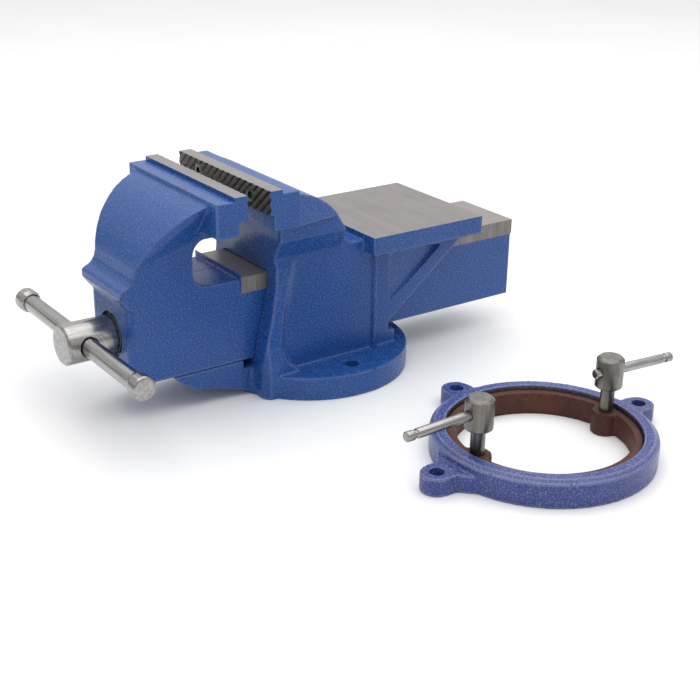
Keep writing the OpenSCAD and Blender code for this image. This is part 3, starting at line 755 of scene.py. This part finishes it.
def tube(name, path, radius, material, sides=12, tilt=Y):
    """A round wire along a path, with closed ends."""
    path = [Vector(p) for p in path]
    verts, run, total = [], [], 0.0
    for i, p in enumerate(path):
        ahead = (path[min(i + 1, len(path) - 1)] - path[max(i - 1, 0)]).normalized()
        u = ahead.cross(Vector(tilt)).normalized()
        v = ahead.cross(u)
        if i:
            total += (p - path[i - 1]).length
        for k in range(sides):
            a = 2 * math.pi * k / sides
            verts.append(tuple(p + (u * math.cos(a) + v * math.sin(a)) * radius))
            run.append(total)
    obj = outward(build(name, verts, skin(sides, len(path)), [material], smooth=False))
    store(obj.data, "prof", np.array(run, np.float32) * MM)
    shade(obj, 50)
    return obj


spring_low, spring_high = box_mm("spindle_spring")
WIRE_R, TURNS, COIL_STEPS = 1.5, 5.0, 240
coil_r = (spring_high[0] - spring_low[0]) / 2 - WIRE_R
coil_len = spring_high[1] - spring_low[1] - 2 * WIRE_R
coil = []
for i in range(COIL_STEPS + 1):
    t = i / COIL_STEPS
    a = 2 * math.pi * TURNS * t
    coil.append((coil_r * math.cos(a), spring_low[1] + WIRE_R + coil_len * t, SPIN_Z + coil_r * math.sin(a)))
stand_for(tube("spring_coil", coil, WIRE_R, DULL), "spindle_spring", "moving_jaw")

pin_low, pin_high = box_mm("split_pin")
pin_r = (pin_high[1] - pin_low[1]) / 2
pin_y = (pin_low[1] + pin_high[1]) / 2
PIN_SPLIT = 0.12  # half the gap between the two legs
legs = []
for side in (-1, 1):
    flat_y = pin_y + side * PIN_SPLIT
    outline = [(flat_y, SPIN_Z - pin_r * 0.96)]
    for t in np.radians(np.linspace(-74, 74, 13)):
        out = PIN_SPLIT + (pin_r - PIN_SPLIT) * math.cos(t)
        outline.append((pin_y + side * out, SPIN_Z + pin_r * math.sin(t)))
    outline.append((flat_y, SPIN_Z + pin_r * 0.96))
    legs.append(prism(outline, "X", pin_low[0] + 3.5, pin_high[0] - (0.3 if side < 0 else 3.0)))
eye = [(pin_low[0] + 2.2 + 1.6 * math.cos(a), pin_y + 1.7 * math.sin(a), SPIN_Z)
       for a in np.linspace(math.radians(35), math.radians(325), 25)]
pin = outward(build("pin_legs", *joined(*legs), [DULL]))
loop = tube("pin_eye", eye, 0.6, DULL, 10, Z)
stand_for(merge("cotter_pin", pin, loop), "split_pin", "spindle")

nut = cast("spindle_nut", "nut_casting", [IRON, SHADED_BORE], 1.0, 5,
           stock=[rod((0, 0, SPIN_Z), Y, 14, nut_low[1] + 0.2, nut_high[1] - 0.2)])
boolean(nut, rod((0, 0, SPIN_Z), Y, 12.2, nut_low[1] - 2, nut_high[1] + 2))
shade(nut, 28)
stand_for(nut, "spindle_nut", "vise_body")

made = []
HEX_R = 10.95  # of the bolts' heads, to a corner
for i, y in enumerate(NUT_BOLT_YS):
    head_bolt = build(f"bolt_head_{i}", *rod((0, y, 0), Z, HEX_R, 4.5, 12, 6), [DULL], smooth=False)
    outward(head_bolt)
    cone = lathe("cone", [(4.5, 0), (4.5, 9.2), (6.0, 11.6), (12, 11.6), (12, 0)], [DULL], (0, y, 0), Z, 64)
    modifier = head_bolt.modifiers.new("chamfer", "BOOLEAN")
    modifier.operation, modifier.object, modifier.solver = "INTERSECT", cone, "MANIFOLD"
    apply_modifiers(head_bolt)
    bpy.data.objects.remove(cone)
    shade(head_bolt, 30)
    shank = lathe(f"bolt_shank_{i}", rounded([(11.8, 0), (11.8, 5.9), (50.6, 5.9), (50.6, 0)], [0, 0, 1.2, 0]),
                  [DULL], (0, y, 0), Z, 40)
    made += [head_bolt, shank]
stand_for(merge("floor_bolts", *made), "nut_bolts", "vise_body")

# ---------------------------------------------------------------- handle

BAR_Y = (bar_low[1] + bar_high[1]) / 2
bar_r = (bar_high[1] - bar_low[1]) / 2
bar = lathe("handle_rod", rounded([
    (bar_low[0] + 0.2, 0), (bar_low[0] + 0.2, bar_r), (bar_high[0] - 0.2, bar_r), (bar_high[0] - 0.2, 0)],
    [0, 0.8, 0.8, 0]), [BRIGHT], (0, BAR_Y, SPIN_Z), X, 64)
stand_for(bar, "handle_bar", "handle")
for name, node, into in (("end_near", "handle_cap_near", -1), ("end_far", "handle_cap_far", 1)):
    low, high = box_mm(node)
    end = high[0] if into < 0 else low[0]
    r = (high[1] - low[1]) / 2
    length = high[0] - low[0]
    bore_r = bar_r + 0.05
    profile = rounded([
        (0, 0), (0, r - 1.8), (0.7, r - 0.6), (2.0, r), (length - 5.0, r), (length - 2.5, r - 0.9),
        (length - 0.2, bar_r + 0.9), (length, bar_r + 0.5), (length, bore_r), (length - 3, bore_r),
        (length - 3, 0)], [0, 1.2, 0.8, 1.2, 1.5, 1.5, 0.4, 0.2, 0, 0, 0])
    cap = lathe(name, profile, [BRIGHT], (end, BAR_Y, SPIN_Z), (into, 0, 0), 64)
    stand_for(cap, node, "handle")

# ---------------------------------------------------------------- swivel base and its parts

def at_ring(x, y, z):
    return (RING_C[0] + x, RING_C[1] + y, z)


def bevel_highlight_and_wear(co):
    """A painted highlight line on the bevel at the top of the base ring: paler paint there, with some chips."""
    r = np.hypot(co[:, 0] - RING_C[0], co[:, 1] - RING_C[1])
    return 0.55 * (co[:, 2] > 19.5) * (r > 85.5) * (r < 91)


ears = [(0, 108), (-108, 0), (0, -108)]
base = cast(
    "swivel_base", "swivel_casting", [RING_BLUE, SHADED_BORE], 1.0, 3,
    stock=[rod(at_ring(x, y, 0), Z, 7.5, 0.6, 14.6) for x, y in ears],
    # painted highlight line on the top bevel, with chips
    edge_wear_and_highlight=bevel_highlight_and_wear)
boolean(base, rod(at_ring(0, 0, 0), Z, 78.1, -5, 30, 160))
for x, y in ears:
    boolean(base, rod(at_ring(x, y, 0), Z, 6.0, -3, 30, 48), index=0)
shade(base, 28)
stand_for(base, "swivel_base", "swivel_base")

lock_places = {"near": (0, -69), "far": (0, 69)}
clamp = cast(
    "clamp_ring", "clamp_casting", [RED, SHADED_BORE], 0.9, 5,
    stock=[rod(at_ring(x, y, 0), Z, 7.5, 0.6, clamp_high[2] - 0.4) for x, y in lock_places.values()])
for x, y in lock_places.values():
    boolean(clamp, rod(at_ring(x, y, 0), Z, 5.9, -3, 30, 48))
shade(clamp, 28)
stand_for(clamp, "clamp_ring", "clamp_ring")

SHANK_TOP, TOMMY_Z, TOMMY_R, TOMMY_LEN = 40, 54, 4.0, 80.0
for side, angle, inner in (("near", 272, -8.0), ("far", 84, -15.5)):
    node = "lock_bolt_" + side
    x, y = lock_places[side]
    low, high = box_mm(node)
    top = high[2]
    profile = rounded([
        (low[2], 0), (low[2], 4.6), (low[2] + 1.2, 5.75), (SHANK_TOP, 5.75), (SHANK_TOP, 9.6),
        (SHANK_TOP + 1.4, 11.3), (top - 2.4, 11.3), (top, 8.9), (top, 0)],
        [0, 0.3, 0.3, 0.4, 0.5, 0.5, 0.6, 0.6, 0])
    bolt = lathe("clamp_bolt_" + side, profile, [BOLT], at_ring(x, y, 0), Z, 72)
    a = math.radians(angle)
    along = (math.cos(a), math.sin(a), 0)
    boolean(bolt, rod(at_ring(x, y, TOMMY_Z), along, 4.4, -30, 30, 40), index=0)
    shade(bolt, 30)
    stand_for(bolt, node, node)
    r, end = TOMMY_R, TOMMY_LEN
    profile = rounded([
        (0, 0), (0, r - 0.8), (0.8, r), (end - 10.5, r), (end - 9.6, r - 1.1), (end - 7.6, r - 1.1),
        (end - 6.8, r), (end - 0.8, r), (end, r - 0.8), (end, 0)],
        [0, 0.4, 0.4, 0.3, 0.4, 0.4, 0.3, 0.4, 0.4, 0])
    start = at_ring(x + along[0] * inner, y + along[1] * inner, TOMMY_Z)
    tommy = lathe("tommy_rod_" + side, profile, [BRIGHT], start, along, 40)
    stand_for(tommy, "tommy_bar_" + side, "tommy_bar_" + side)

# ---------------------------------------------------------------- floor, light, camera

floor_shader = Shader("floor")
floor_at = floor_shader.coords()
tone = floor_shader.ramp(floor_shader.noise(floor_at, 3.0, 2.0), 0.3, 0.7)
floor_shader.finish(floor_shader.mix(tone, (0.86, 0.86, 0.86), (0.88, 0.88, 0.88)), 0.8)
floor = build("floor", *block((-6000, -6000, -6), (6000, 6000, -0.05)), [floor_shader.material], smooth=False)

world = bpy.data.worlds.new("studio")
world.use_nodes = True


def sky(tree):
    """White studio: a bright far side, a lit ceiling and a dim strip low down all round."""
    direction = tree.nodes.new("ShaderNodeTexCoord").outputs["Generated"]
    split = tree.nodes.new("ShaderNodeSeparateXYZ")
    tree.links.new(direction, split.inputs[0])

    def smooth(value, low, high, out_low, out_high):
        made = tree.nodes.new("ShaderNodeMapRange")
        made.interpolation_type = "SMOOTHSTEP"
        for key, number in (("From Min", low), ("From Max", high), ("To Min", out_low), ("To Max", out_high)):
            made.inputs[key].default_value = number
        tree.links.new(value, made.inputs["Value"])
        return made.outputs[0]

    def combine(operation, a, b):
        made = tree.nodes.new("ShaderNodeMath")
        made.operation = operation
        tree.links.new(a, made.inputs[0])
        tree.links.new(b, made.inputs[1])
        return made.outputs[0]

    far = tree.nodes.new("ShaderNodeVectorMath")
    far.operation = "DOT_PRODUCT"
    far.inputs[1].default_value = (-0.81, 0.58, 0.0)
    tree.links.new(direction, far.inputs[0])
    level = smooth(split.outputs[2], 0.08, 0.26, 0.3, 0.75)
    toward_far = smooth(far.outputs["Value"], 0.3, 0.9, 0.0, 0.35)
    glow = combine("MULTIPLY", toward_far, smooth(split.outputs[2], 0.02, 0.2, 0.0, 1.0))
    total = combine("ADD", level, glow)
    tree.links.new(total, tree.nodes["Background"].inputs[1])


world.node_tree.nodes["Background"].inputs[0].default_value = (1.0, 1.0, 1.0, 1)
sky(world.node_tree)
scene.world = world


lamp_data = bpy.data.lights.new("overhead", "AREA")
lamp_data.shape = "RECTANGLE"
lamp_data.size = lamp_data.size_y = 3.0
lamp_data.energy = 42
lamp = bpy.data.objects.new("overhead", lamp_data)
scene.collection.objects.link(lamp)
lamp.location = (0.1, 0.1, 2.0)
aim = Vector((0.08, 0.0, 0.1)) - Vector(lamp.location)
lamp.rotation_euler = aim.to_track_quat("-Z", "Y").to_euler()

back = Vector((0.74740, -0.53527, 0.39355)).normalized()
right = Vector((0.57703, 0.81659, 0.01479))
right = (right - back * right.dot(back)).normalized()
up = back.cross(right)
camera_data = bpy.data.cameras.new("camera")
camera_data.sensor_width = 36.0
camera_data.lens = 67.58
camera_data.clip_end = 50.0
camera = bpy.data.objects.new("camera", camera_data)
scene.collection.objects.link(camera)
place = Matrix((right, up, back)).transposed().to_4x4()
place.translation = Vector((0.92459, -0.61481, 0.48476))
camera.matrix_world = place
scene.camera = camera
scene.view_settings.view_transform = "Standard"
